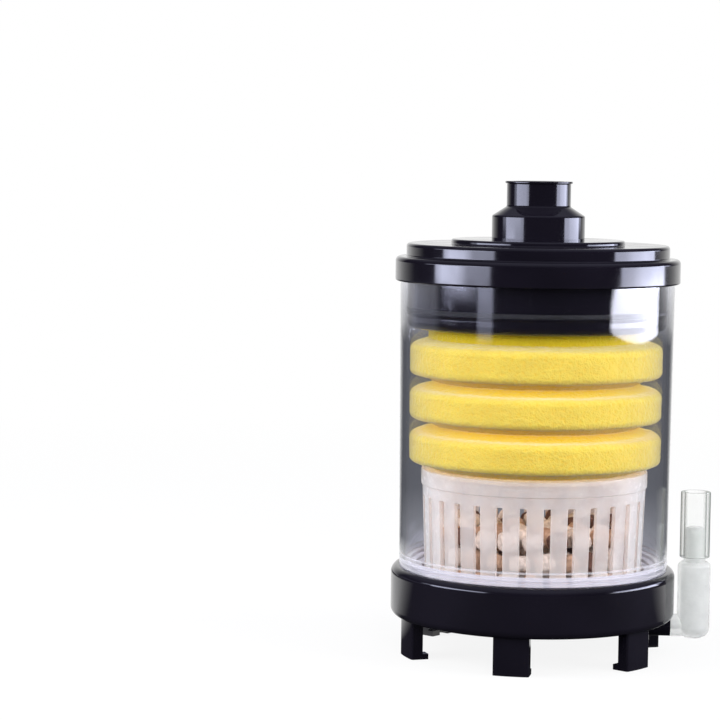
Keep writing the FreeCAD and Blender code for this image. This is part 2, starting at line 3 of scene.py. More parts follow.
import bmesh
import bpy
import numpy as np
from mathutils import Matrix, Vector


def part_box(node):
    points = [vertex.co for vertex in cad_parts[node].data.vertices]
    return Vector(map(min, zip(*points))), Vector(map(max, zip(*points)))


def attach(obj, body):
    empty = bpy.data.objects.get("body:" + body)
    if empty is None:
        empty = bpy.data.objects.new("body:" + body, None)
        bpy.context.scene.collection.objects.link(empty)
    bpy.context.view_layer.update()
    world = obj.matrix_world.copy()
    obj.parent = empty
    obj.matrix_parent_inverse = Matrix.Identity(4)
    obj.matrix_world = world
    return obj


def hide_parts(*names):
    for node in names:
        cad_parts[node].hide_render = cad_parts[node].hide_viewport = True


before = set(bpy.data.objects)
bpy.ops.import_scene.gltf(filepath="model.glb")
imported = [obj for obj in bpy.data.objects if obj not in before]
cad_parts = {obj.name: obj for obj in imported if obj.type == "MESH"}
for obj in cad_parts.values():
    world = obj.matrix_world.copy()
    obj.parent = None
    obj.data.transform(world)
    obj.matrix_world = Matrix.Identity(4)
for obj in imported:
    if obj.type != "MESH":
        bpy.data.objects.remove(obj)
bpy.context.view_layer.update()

bl_info = {
    "name": "Canister filter",
    "version": (1, 0, 0),
    "blender": (4, 5, 0),
    "location": "3D View > Sidebar > Filter",
    "description": "Surfaces and finishes of an aquarium canister filter, fitted round its packed frame",
    "category": "Object",
}

MM = 0.001
# Fewest steps of a rounding's arc, and how close in mm a straight side's points lie to the arcs at its
# ends.
ARC_STEPS, FLAT_EDGE = 6, 0.15
SHARP_ANGLE = math.radians(32)
# Points closer than the first are merged, and faces thinner than the second are dropped, in metres.
MERGE_DISTANCE, FLAT_DISTANCE = 2e-6, 1e-6
# Radius in mm of the hole for the inlet's neck, in the base ring and in the barrel's floor.
NECK_HOLE = 10.05
# Nearly all values of a noise texture lie between these.
NOISE_SPAN = (0.35, 0.65)
# Numbers that stir a lattice corner's place into random whole numbers of 32 bits, and a shift that keeps
# the place positive.
PRIMES = (374761393, 668265263, 2246822519, 3266489917)
WORD, LATTICE_SHIFT = np.uint64(0xffffffff), 4096


# Sizes and colours

def hex_colour(code, alpha=1.0):
    """sRGB hex code to the linear colour that a shader socket takes."""
    parts = [int(code[i:i + 2], 16) / 255 for i in (1, 3, 5)]
    linear = [c / 12.92 if c <= 0.04045 else ((c + 0.055) / 1.055) ** 2.4 for c in parts]
    return (*linear, alpha)


def length(name, description, millimetres):
    """A length property in metres, with its default given in millimetres."""
    return bpy.props.FloatProperty(name=name, description=description, default=millimetres * MM,
                                   min=0.0, precision=5, unit="LENGTH")


def colour(name, description, code):
    """A colour property with its default given as an sRGB hex code."""
    return bpy.props.FloatVectorProperty(name=name, description=description, size=4, min=0.0, max=1.0,
                                         default=hex_colour(code), subtype="COLOR")


class FilterSizes(bpy.types.PropertyGroup):
    round_segments: bpy.props.IntProperty(
        name="Segments round", description="Faces round each turned piece", default=192, min=48, max=384)
    foam_pore: length("Foam pore", "Width of one cell of the foam", 1.5)
    foam_depth: length("Foam pore depth", "How deep the cells dent the foam's cut faces", 0.25)
    foam_grid: length("Foam grid", "Spacing of the foam's surface points", 0.6)
    foam_wave: length("Foam waviness", "How far the foam's faces swell and sink by hand cutting", 0.35)
    media_width: length("Media width", "Width of a ceramic piece", 8.7)
    media_heap: length("Media heap", "How far the top layer of ceramic pieces is heaped", 1.5)
    slot_bevel: length("Slot edge", "Rounding of the edges of the basket's slots", 0.2)


class FilterColours(bpy.types.PropertyGroup):
    black: colour("Black", "Moulded lid, nozzle, ring and feet", "#0f0d15")
    clear: colour("Clear", "Barrel's tint by transmitted light", "#fdfdff")
    milky: colour("Milky", "Media basket", "#f6eeec")
    frosted: colour("Frosted", "Inlet elbow", "#f2f4f2")
    foam: colour("Foam", "Cut face of the foam", "#f6da5e")
    # Painted shade: the deeper yellow painted into the insides of the foam's cells.
    foam_cell_shade: colour("Foam, deep", "Inside of the foam's cells", "#f2c430")
    white_media: colour("White media", "Palest ceramic pieces", "#f6ece6")
    tan_media: colour("Tan media", "Middle ceramic pieces", "#ccab94")
    brown_media: colour("Brown media", "Darkest ceramic pieces", "#7a5c52")


# Surfaces

def rounded_profile(corners, flat_edge=FLAT_EDGE):
    """Closed outline of (radius, height) points in mm. A corner (r, z, rounding) becomes an arc tangent
    to both of its sides: centre + rounding * (cos a, sin a), with a running from one side's normal to the
    other's. Each straight side keeps a point close to both ends, so that its shading stays flat between
    the arcs."""
    points = np.array([corner[:2] for corner in corners], float)
    rounds = np.array([corner[2] if len(corner) > 2 else 0.0 for corner in corners])
    before = np.roll(points, 1, axis=0) - points
    after = np.roll(points, -1, axis=0) - points
    before /= np.linalg.norm(before, axis=1)[:, None]
    after /= np.linalg.norm(after, axis=1)[:, None]
    half = np.arccos(np.clip((before * after).sum(1), -1, 1)) / 2
    arcs = []
    for i, rounding in enumerate(rounds):
        if rounding == 0:
            arcs.append(points[i:i + 1])
            continue
        reach = rounding / math.tan(half[i])
        start, end = points[i] + before[i] * reach, points[i] + after[i] * reach
        middle = (before[i] + after[i]) / np.linalg.norm(before[i] + after[i])
        centre = points[i] + middle * rounding / math.sin(half[i])
        first, last = start - centre, end - centre
        turn = math.pi - 2 * half[i]
        share = np.linspace(0, 1, max(ARC_STEPS, int(3 * rounding)) + 1)[:, None]
        blend = np.sin((1 - share) * turn) * first + np.sin(share * turn) * last
        arcs.append(centre + blend / math.sin(turn))
    outline = []
    for arc, following in zip(arcs, arcs[1:] + arcs[:1]):
        outline.append(arc)
        side = following[0] - arc[-1]
        span = np.linalg.norm(side)
        if span > 4 * flat_edge:
            outline.append(arc[-1] + side * flat_edge / span)
            outline.append(following[0] - side * flat_edge / span)
    outline = np.vstack(outline)
    turning = (outline * np.roll(outline, -1, axis=0)[:, ::-1] * (1, -1)).sum()
    return outline if turning > 0 else outline[::-1]


def grid_faces(rows, columns, close_rows=True, close_columns=True):
    """Quads of a grid of points, row by row: (j, i), (j, i+1), (j+1, i+1), (j+1, i), wrapped where it
    closes."""
    j = np.arange(rows if close_rows else rows - 1)[:, None]
    i = np.arange(columns if close_columns else columns - 1)[None, :]
    ahead, up = (i + 1) % columns, (j + 1) % rows
    corners = [j * columns + i, j * columns + ahead, up * columns + ahead, up * columns + i]
    return np.stack(np.broadcast_arrays(*corners), axis=-1).reshape(-1, 4)


def turned(profile, segments, centre=(0.0, 0.0), finer=None):
    """Surface of revolution: the point (u, v) is (r(v) cos u, r(v) sin u, z(v)) beside a vertical axis,
    with u once round and v along the closed profile. finer adds further angles to the evenly spaced
    ones."""
    angle = np.linspace(0, 2 * np.pi, segments, endpoint=False)
    if finer is not None:
        angle = np.unique(np.round(np.concatenate([angle, finer % (2 * np.pi)]), 9))
    radius, height = profile[:, :1], profile[:, 1:]
    x, y = centre[0] + radius * np.cos(angle), centre[1] + radius * np.sin(angle)
    points = np.stack([x, y, height + 0 * angle], axis=-1)
    return points.reshape(-1, 3), grid_faces(len(profile), len(angle))


def joined(*surfaces):
    """Several surfaces as one list of points and one of faces."""
    offsets = np.cumsum([0] + [len(points) for points, _ in surfaces[:-1]])
    points = np.vstack([points for points, _ in surfaces])
    faces = np.vstack([faces + offset for (_, faces), offset in zip(surfaces, offsets)])
    return points, faces


def turned_about_axis(points, angle):
    """Points turned by an angle about the canister's axis: (x cos a - y sin a, x sin a + y cos a, z)."""
    c, s = math.cos(angle), math.sin(angle)
    return points @ np.array([[c, s, 0], [-s, c, 0], [0, 0, 1]])


def rounded_bar(low, high, rounding, grid=5):
    """Bar with rounded edges: each of a box's six sides is a grid, its points p are clamped to the inner
    box, and the rest of p is set to the rounding's length: q = clamp(p) + rounding * unit(p -
    clamp(p))."""
    low, high = np.array(low, float), np.array(high, float)
    steps = rounding * np.linspace(0, 1, grid // 2 + 1)
    lines = [np.concatenate([low[k] + steps, high[k] - steps[::-1]]) for k in range(3)]
    faces, points, count = [], [], 0
    for axis in range(3):
        a, b = (axis + 1) % 3, (axis + 2) % 3
        for side, value in ((0, low[axis]), (1, high[axis])):
            pa, pb = np.meshgrid(lines[a], lines[b], indexing="ij")
            p = np.zeros(pa.shape + (3,))
            p[..., a], p[..., b], p[..., axis] = pa, pb, value
            quads = grid_faces(len(lines[a]), len(lines[b]), False, False)
            faces.append((quads if side == 0 else quads[:, ::-1]) + count)
            points.append(p.reshape(-1, 3))
            count += pa.size
    p = np.vstack(points)
    inner = np.clip(p, low + rounding, high - rounding)
    away = p - inner
    reach = np.linalg.norm(away, axis=1)[:, None]
    return inner + away / np.maximum(reach, 1e-9) * rounding, np.vstack(faces)


def slotted_shell(loop, mates, widths, count, first=0.0, rib_columns=5):
    """Turned shell with a ring of slots. Each sector between two slots' middles has the columns: slot's
    middle, slot's edge, the rib, next slot's edge. The edge of row j is at the angle widths[j] / r(j)
    from the middle, so a round slot end comes from narrowing widths. mates pairs each row of the outer
    face with the row of the inner face at the same place: between them run the slots' side walls. Near
    the axis a slot's half keeps to a fixed share of its sector, so that the ribs stay."""
    sector = 2 * math.pi / count
    widest = 0.38 * sector
    radius, height = loop[:, 0], loop[:, 1]
    edge = np.minimum(widths / np.maximum(radius, 1e-6), widest)
    share = np.linspace(0, 1, rib_columns + 1)
    inside = edge[:, None] + share * (sector - 2 * edge[:, None])
    columns = np.concatenate([np.zeros((len(loop), 1)), inside], axis=1)
    per_sector = columns.shape[1]
    angle = columns[:, None, :] + sector * np.arange(count)[None, :, None]
    angle = angle.reshape(len(loop), -1) + first
    points = np.stack([radius[:, None] * np.cos(angle), radius[:, None] * np.sin(angle),
                       np.broadcast_to(height[:, None], angle.shape)], axis=-1).reshape(-1, 3)
    total = per_sector * count
    quads = grid_faces(len(loop), total).reshape(len(loop), total, 4)
    keep = np.ones((len(loop), total), bool)
    column = np.arange(total) % per_sector
    open_columns = (column == 0) | (column == per_sector - 1)
    walls = []
    i = np.arange(count) * per_sector
    for (outer, inner), (outer_next, inner_next) in zip(mates[:-1], mates[1:]):
        for row in (min(outer, outer_next), min(inner, inner_next)):
            keep[row, open_columns] = False
        for edge_column in (i + 1, i + per_sector - 1):
            corners = [row * total + edge_column for row in (outer, outer_next, inner_next, inner)]
            walls.append(np.stack(corners, -1))
    for outer, inner in (mates[0], mates[-1]):
        for start, end in ((i, i + 1), (i + per_sector - 1, (i + per_sector) % total)):
            walls.append(np.stack([outer * total + start, outer * total + end,
                                   inner * total + end, inner * total + start], -1))
    return points, np.vstack([quads[keep]] + walls)


def hashed(corners, seed):
    """Three repeatable numbers from 0 to 1 for each whole-number corner, by integer mixing."""
    x, y, z = ((corners[:, k] + LATTICE_SHIFT).astype(np.uint64) & WORD for k in range(3))
    first, second, third, fourth = (np.uint64(prime) for prime in PRIMES)
    mixed = (x * first + y * second + z * third + np.uint64(seed * PRIMES[3])) & WORD
    numbers = []
    for shift, factor in ((15, third), (13, fourth), (16, second)):
        mixed = ((mixed ^ (mixed >> np.uint64(shift))) * factor) & WORD
        numbers.append(mixed / float(WORD))
    return np.stack(numbers, axis=1)


def cell_distance(points, cell, seed):
    """Cellular noise: the distance from each point to the nearest of one random spot per cube of side
    cell, in units of that side."""
    grid = points / cell
    base = np.floor(grid).astype(np.int64)
    nearest = np.full(len(points), np.inf)
    for shift in np.ndindex(3, 3, 3):
        corner = base + (np.array(shift) - 1)
        nearest = np.minimum(nearest, ((corner + hashed(corner, seed) - grid) ** 2).sum(1))
    return np.sqrt(nearest)


def soft_noise(points, cell, seed):
    """Value noise from -1 to 1: random corner values of a cubic lattice of side cell, blended by the
    smooth step 3t^2 - 2t^3 along each axis."""
    grid = points / cell
    base = np.floor(grid).astype(np.int64)
    t = grid - base
    t = t * t * (3 - 2 * t)
    total = np.zeros(len(points))
    for shift in np.ndindex(2, 2, 2):
        weight = np.prod(np.where(np.array(shift) == 1, t, 1 - t), axis=1)
        total += weight * hashed(base + np.array(shift), seed)[:, 0]
    return 2 * total - 1


# Objects

def merged(mesh, made_here):
    """Merges the points of a mesh that meet. A mesh that was made here also loses its flattened faces,
    and its normals are turned outwards."""
    shape = bmesh.new()
    shape.from_mesh(mesh)
    bmesh.ops.remove_doubles(shape, verts=shape.verts, dist=MERGE_DISTANCE)
    if made_here:
        bmesh.ops.dissolve_degenerate(shape, edges=shape.edges, dist=FLAT_DISTANCE)
        bmesh.ops.recalc_face_normals(shape, faces=shape.faces)
    shape.to_mesh(mesh)
    shape.free()


def mesh_object(name, points, faces, smooth=True):
    """A mesh object at the origin from points in mm and quads."""
    mesh = bpy.data.meshes.new(name)
    mesh.vertices.add(len(points))
    mesh.vertices.foreach_set("co", (points * MM).astype(np.float32).ravel())
    mesh.loops.add(faces.size)
    mesh.loops.foreach_set("vertex_index", faces.astype(np.int32).ravel())
    mesh.polygons.add(len(faces))
    mesh.polygons.foreach_set("loop_start", np.arange(0, faces.size, faces.shape[1], dtype=np.int32))
    mesh.update(calc_edges=True)
    mesh.validate()
    merged(mesh, made_here=True)
    return finished_object(name, mesh, smooth)


def finished_object(name, mesh, smooth=True):
    """Puts a mesh into the scene, shaded round except over its sharp edges."""
    mesh.polygons.foreach_set("use_smooth", np.full(len(mesh.polygons), smooth))
    if smooth:
        mesh.set_sharp_from_angle(angle=SHARP_ANGLE)
    mesh.update()
    piece = bpy.data.objects.new(name, mesh)
    bpy.context.scene.collection.objects.link(piece)
    return piece


def fitted(context, piece, body, slot, *nodes):
    """Gives a piece its finish and the body that it rides on, and hides the CAD nodes that it stands
    for."""
    piece.data.materials.clear()
    piece.data.materials.append(finish(context, slot))
    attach(piece, body)
    if nodes:
        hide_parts(*nodes)
    return piece


def weighted_normals(piece):
    """Flat faces keep their own direction, so that only the roundings between them shade round."""
    modifier = piece.modifiers.new("weighted_normals", "WEIGHTED_NORMAL")
    modifier.keep_sharp = True
    modifier.weight = 90


def smooth_copy(context, node, name, body, slot):
    """A merged copy of a CAD node, shaded round over its roundings."""
    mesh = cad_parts[node].data.copy()
    mesh.name = name
    merged(mesh, made_here=False)
    if mesh.has_custom_normals:
        mesh.attributes.remove(mesh.attributes["custom_normal"])
    piece = finished_object(name, mesh)
    weighted_normals(piece)
    return fitted(context, piece, body, slot, node)


def turned_piece(context, name, corners, body, slot, *nodes, centre=(0.0, 0.0), extra=()):
    """A turned piece from its profile's corners in mm, with any further surfaces joined to it."""
    segments = context.scene.filter_sizes.round_segments
    surface = joined(turned(rounded_profile(corners), segments, centre), *extra)
    return fitted(context, mesh_object(name, *surface), body, slot, *nodes)


def node_span(node):
    """Outer radius, lowest and highest level of a turned CAD node, in mm."""
    low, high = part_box(node)
    return high.y / MM, low.z / MM, high.z / MM


# Finishes

def add_node(tree, kind, inputs=(), **settings):
    """Adds a shader node with its settings. Its inputs come in their order, or in a dictionary by name or
    place. Each is a plain value, an sRGB hex code, an output to link, or a node whose first output in use
    is linked."""
    node = tree.nodes.new("ShaderNode" + kind)
    for key, value in settings.items():
        setattr(node, key, value)
    for key, value in (inputs if isinstance(inputs, dict) else dict(enumerate(inputs))).items():
        if isinstance(value, bpy.types.Node):
            value = next(output for output in value.outputs if output.enabled)
        if isinstance(value, bpy.types.NodeSocket):
            tree.links.new(value, node.inputs[key])
        else:
            node.inputs[key].default_value = hex_colour(value) if isinstance(value, str) else value
    return node


def new_finish(name):
    """An empty material, its node tree, and the object coordinates that its patterns read."""
    material = bpy.data.materials.new(name)
    material.use_nodes = True
    tree = material.node_tree
    tree.nodes.clear()
    return material, tree, add_node(tree, "TexCoord").outputs["Object"]


def end_finish(tree, inputs, tint=None, share=1.0, **outputs):
    """Ends a finish with its principled shader. With a tint, a share of the light that only shades other
    pieces passes the thin wall straight and takes that tint."""
    surface = add_node(tree, "BsdfPrincipled", inputs)
    if tint:
        rays = add_node(tree, "LightPath").outputs
        shading = (rays["Is Shadow Ray"], rays["Is Diffuse Ray"])
        either = add_node(tree, "Math", shading, operation="MAXIMUM")
        part = add_node(tree, "Math", (either, share), operation="MULTIPLY")
        straight = add_node(tree, "BsdfTransparent", (tint,))
        surface = add_node(tree, "MixShader", (part, surface, straight))
    add_node(tree, "OutputMaterial", {"Surface": surface, **outputs})


def shaded(base, factor):
    """A colour with its brightness multiplied."""
    return (base[0] * factor, base[1] * factor, base[2] * factor, 1.0)


def spaced(millimetres):
    """Scale of a texture whose features are about this many millimetres wide."""
    return 1 / (millimetres * MM)


def drifting(tree, place, low, high, millimetres, detail=2.0):
    """A number that drifts between two values, in clouds of a given width."""
    clouds = {"Vector": place, "Scale": spaced(millimetres), "Detail": detail}
    return add_node(tree, "MapRange", (add_node(tree, "TexNoise", clouds), *NOISE_SPAN, low, high))


def clouded(tree, place, base, factor, millimetres, detail):
    """A colour that drifts between itself and the same times a factor, in clouds of a given width."""
    part = drifting(tree, place, 0, 1, millimetres, detail)
    return add_node(tree, "Mix", {0: part, 6: base, 7: shaded(base, factor)}, data_type="RGBA")


def rippled(tree, place, millimetres, detail, depth, strength):
    """Relief of soft waves, with their width and depth in mm."""
    waves = {"Vector": place, "Scale": spaced(millimetres), "Detail": detail}
    relief = {"Height": add_node(tree, "TexNoise", waves), "Distance": depth * MM, "Strength": strength}
    return add_node(tree, "Bump", relief)


def ramps(tree, *spans):
    """The product of ramps, each given as (value, start, end, result at the start, result at the end)."""
    product, *others = (add_node(tree, "MapRange", span) for span in spans)
    for ramp in others:
        product = add_node(tree, "Math", (product, ramp), operation="MULTIPLY")
    return product


def axis_distance(tree, place):
    """Distance from the canister's axis: the length of (x, y, 0)."""
    flat = add_node(tree, "VectorMath", (place, (1, 1, 0)), operation="MULTIPLY")
    return add_node(tree, "VectorMath", (flat,), operation="LENGTH")


def black_abs(colours):
    # ABS moulded in a polished mould: a deep blue-black with a wet gloss, and a faint ripple that only
    # shows where a bright reflection crosses it.
    material, tree, place = new_finish("polished_black_abs")
    end_finish(tree, {
        "IOR": 1.54,
        "Base Color": clouded(tree, place, tuple(colours.black), 1.35, 25, 1.0),
        "Roughness": drifting(tree, place, 0.06, 0.13, 12, 3.0),
        "Normal": rippled(tree, place, 5, 1.0, 0.01, 0.5)})
    return material


def clear_acrylic(colours):
    # Clear injection-moulded acrylic: sharp reflections, a light grey edge where the wall is seen end on,
    # and very shallow flow waves down the wall. Its stepped floor is pale satin, and the wall's foot has
    # faint rings.
    material, tree, place = new_finish("clear_moulded_acrylic")
    height = add_node(tree, "SeparateXYZ", (place,)).outputs["Z"]
    below_steps = (height, 38.2 * MM, 38.8 * MM, 0.82, 0)
    inside_wall = (axis_distance(tree, place), 52.1 * MM, 52.4 * MM, 1, 0)
    ring_spacing, foot = 2.2 * MM, (height, 40 * MM, 42 * MM, 1, 0)
    turns = add_node(tree, "Math", (height, 2 * math.pi / ring_spacing), operation="MULTIPLY")
    wave = add_node(tree, "Math", (turns, 0.0), operation="SINE")
    rings = ramps(tree, (wave, 0.2, 0.9, 0, 0.4), foot)
    satin = add_node(tree, "Math", (ramps(tree, below_steps, inside_wall), rings), operation="MAXIMUM")
    polish = drifting(tree, place, 0.0, 0.035, 9, 3.0)
    dulled = add_node(tree, "Math", (satin, 0.12), operation="MULTIPLY")
    tall = add_node(tree, "Mapping", {"Vector": place, "Scale": (1, 1, 0.3)})
    smoke = add_node(tree, "VolumeAbsorption", {"Color": "#8a8c96", "Density": 15.0})
    clear = tuple(colours.clear)
    end_finish(tree, {
        "IOR": 1.49,
        "Base Color": add_node(tree, "Mix", {0: satin, 6: clear, 7: "#efedff"}, data_type="RGBA"),
        "Transmission Weight": add_node(tree, "MapRange", (satin, 0, 1, 1.0, 0.3)),
        "Roughness": add_node(tree, "Math", (polish, dulled), operation="ADD"),
        "Normal": rippled(tree, tall, 14, 1.0, 0.05, 0.35)}, tint="#ffffff", Volume=smoke)
    return material


def clear_tube():
    # Extruded clear vinyl tube: soft, slightly cloudy, with fine draw lines along it. Where the wall is
    # seen end on its colour is painted a dark grey-green: a painted shade along its outline.
    material, tree, place = new_finish("clear_extruded_vinyl")
    edge_on = add_node(tree, "LayerWeight").outputs["Facing"]
    # Painted shade: the base colour turns dark grey-green where the wall is seen end on.
    rim = add_node(tree, "MapRange", (edge_on, 0.2, 0.8, 0, 1))
    drawn = add_node(tree, "Mapping", {"Vector": place, "Scale": (1, 1, 0.05)})
    end_finish(tree, {
        "IOR": 1.45,
        "Base Color": add_node(tree, "Mix", {0: rim, 6: "#f0f2f0", 7: "#56645a"}, data_type="RGBA"),
        "Alpha": add_node(tree, "MapRange", (edge_on, 0.25, 0.85, 0.08, 0.85)),
        "Roughness": drifting(tree, drawn, 0.05, 0.16, 1.2),
        "Normal": rippled(tree, drawn, 1.2, 2.0, 0.03, 0.4)}, tint="#fcfefc")
    return material


def milky_polypropylene(colours):
    # Natural polypropylene, moulded thin: milky and waxy, light glows in it, and what lies behind shows
    # faintly. Where the wall is seen end on its colour is painted whiter: a painted sheen along the
    # basket's sides.
    material, tree, place = new_finish("milky_moulded_polypropylene")
    cloud = clouded(tree, place, tuple(colours.milky), 0.86, 7, 3.0)
    edge_on = add_node(tree, "LayerWeight").outputs["Facing"]
    # Painted sheen: the base colour turns whiter where the wall is seen end on.
    rim = add_node(tree, "MapRange", (edge_on, 0.3, 0.8, 0, 1))
    end_finish(tree, {
        "IOR": 1.49, "Sheen Weight": 0.6, "Sheen Roughness": 0.35,
        "Subsurface Weight": 0.35, "Subsurface Radius": (1.0, 0.85, 0.8), "Subsurface Scale": 0.003,
        "Base Color": add_node(tree, "Mix", {0: rim, 6: cloud, 7: "#fffcff"}, data_type="RGBA"),
        "Alpha": add_node(tree, "MapRange", (edge_on, 0.25, 0.8, 0.42, 0.92)),
        "Roughness": drifting(tree, place, 0.16, 0.30, 3, 3.0),
        "Normal": rippled(tree, place, 2.5, 2.0, 0.03, 0.4)}, tint="#fff6f0", share=0.85)
    return material


def frosted_polypropylene(colours):
    # Natural polypropylene in a blasted mould: frosted white, half clear where the wall is thin. Where the
    # wall is seen end on its colour is painted a dark grey-green: a painted shade along its outline.
    material, tree, place = new_finish("frosted_moulded_polypropylene")
    cloud = clouded(tree, place, tuple(colours.frosted), 0.9, 5, 3.0)
    edge_on = add_node(tree, "LayerWeight").outputs["Facing"]
    # Painted shade: the base colour turns dark grey-green where the wall is seen end on.
    rim = add_node(tree, "MapRange", (edge_on, 0.80, 0.98, 0, 1))
    end_finish(tree, {
        "IOR": 1.49, "Specular IOR Level": 0.2, "Alpha": 0.33,
        "Subsurface Weight": 0.8, "Subsurface Radius": (1.0, 0.98, 0.95), "Subsurface Scale": 0.015,
        "Base Color": add_node(tree, "Mix", {0: rim, 6: cloud, 7: "#b2b9b2"}, data_type="RGBA"),
        "Roughness": drifting(tree, place, 0.25, 0.42, 2, 3.0),
        "Normal": rippled(tree, place, 0.8, 2.0, 0.02, 0.5)}, tint="#f4f6f4", share=0.8)
    return material


def yellow_foam(colours, pore):
    # Open-cell polyurethane foam, cut with a hot wire: matt, with small cells whose insides are painted a
    # deeper yellow as painted shade, and a soft glow where light enters the edges. Deep in the grooves
    # between the rings and on the upper ring's neck it is painted a brighter, more saturated yellow:
    # painted bounce light.
    material, tree, place = new_finish("open_cell_polyurethane_foam")
    cells = [add_node(tree, "TexVoronoi", {"Vector": place, "Scale": finer / pore}).outputs["Distance"]
             for finer in (1.0, 2.3)]
    depth = add_node(tree, "Math", cells, operation="ADD")
    # Painted shade: the insides of the cells are painted a deeper yellow.
    cell_shade = add_node(tree, "MapRange", (depth, 0.25, 1.1, 0.75, 0.0))
    patchy = clouded(tree, place, tuple(colours.foam), 0.93, 9, 3.0)
    face = add_node(tree, "Mix", {0: cell_shade, 6: patchy, 7: tuple(colours.foam_cell_shade)}, data_type="RGBA")
    # Painted bounce light: nearer the axis than 49.5 mm, deep in the grooves and on the upper ring's neck,
    # the colour turns a brighter, more saturated yellow.
    groove_bounce_light = add_node(tree, "MapRange", (axis_distance(tree, place), 44 * MM, 49.5 * MM, 1, 0))
    end_finish(tree, {
        "Specular IOR Level": 0.2, "Sheen Weight": 1.0, "Sheen Roughness": 0.45, "Sheen Tint": "#fff8d8",
        "Subsurface Weight": 0.35, "Subsurface Radius": (1.0, 0.8, 0.25), "Subsurface Scale": 0.008,
        "Base Color": add_node(tree, "Mix", {0: groove_bounce_light, 6: face, 7: "#ffde26"}, data_type="RGBA"),
        "Roughness": 0.92,
        "Normal": add_node(tree, "Bump", {"Height": depth, "Distance": 0.5 * MM, "Strength": 0.5})},
        tint="#ffe678", share=0.75)
    return material


def porous_ceramic(name, base):
    # Fired porous ceramic: chalky, speckled by its clay, with pits well under a millimetre drawn at one.
    material, tree, place = new_finish(name)
    speckle = drifting(tree, place, 0, 1, 1.6, 4.0)
    blotch, dark = clouded(tree, place, base, 0.78, 7, 2.0), shaded(base, 0.62)
    end_finish(tree, {
        "Specular IOR Level": 0.3,
        "Base Color": add_node(tree, "Mix", {0: speckle, 6: blotch, 7: dark}, data_type="RGBA"),
        "Roughness": 0.85,
        "Normal": rippled(tree, place, 1.0, 4.0, 0.25, 0.7)})
    return material


def black_rubber():
    # Moulded nitrile rubber: matt black with a grey bloom.
    material, tree, place = new_finish("moulded_nitrile_rubber")
    bloom = drifting(tree, place, 0, 1, 2, 4.0)
    end_finish(tree, {
        "IOR": 1.5,
        "Base Color": add_node(tree, "Mix", {0: bloom, 6: "#1b1b1d", 7: "#2c2c30"}, data_type="RGBA"),
        "Roughness": add_node(tree, "MapRange", (bloom, 0, 1, 0.5, 0.75)),
        "Normal": rippled(tree, place, 0.6, 2.0, 0.02, 0.5)})
    return material


def turned_steel():
    # Stainless steel screws, cold-headed and turned: bright, with fine rings round the shank and head.
    material, tree, place = new_finish("turned_stainless_steel")
    ringed = add_node(tree, "Mapping", {"Vector": place, "Scale": (1, 1, 6)})
    end_finish(tree, {
        "Metallic": 1.0, "Base Color": "#c3c3c7",
        "Roughness": drifting(tree, ringed, 0.22, 0.4, 0.5),
        "Normal": rippled(tree, ringed, 0.5, 2.0, 0.01, 0.5)})
    return material


finishes = {}


def finish(context, slot):
    """The finish of a material slot, made once."""
    if slot not in finishes:
        colours, sizes = context.scene.filter_colours, context.scene.filter_sizes
        makers = {
            "black_abs": lambda: black_abs(colours),
            "clear_acrylic": lambda: clear_acrylic(colours),
            "clear_tube": clear_tube,
            "milky_polypropylene": lambda: milky_polypropylene(colours),
            "frosted_polypropylene": lambda: frosted_polypropylene(colours),
            "yellow_foam": lambda: yellow_foam(colours, sizes.foam_pore),
            "white_ceramic": lambda: porous_ceramic("white_porous_ceramic", tuple(colours.white_media)),
            "tan_ceramic": lambda: porous_ceramic("tan_porous_ceramic", tuple(colours.tan_media)),
            "brown_ceramic": lambda: porous_ceramic("brown_porous_ceramic", tuple(colours.brown_media)),
            "black_rubber": black_rubber,
            "stainless_steel": turned_steel,
        }
        finishes[slot] = makers[slot]()
    return finishes[slot]


# Stage

class FILTER_OT_stage(bpy.types.Operator):
    """Pale floor, soft studio lamps, bright surroundings and the camera"""
    bl_idname = "filter.stage"
    bl_label = "Stage"

    def execute(self, context):
        scene = context.scene
        scene.view_settings.view_transform = "Standard"
        make_floor()
        make_world(scene)
        make_lamps(scene)
        make_camera(scene)
        return {"FINISHED"}


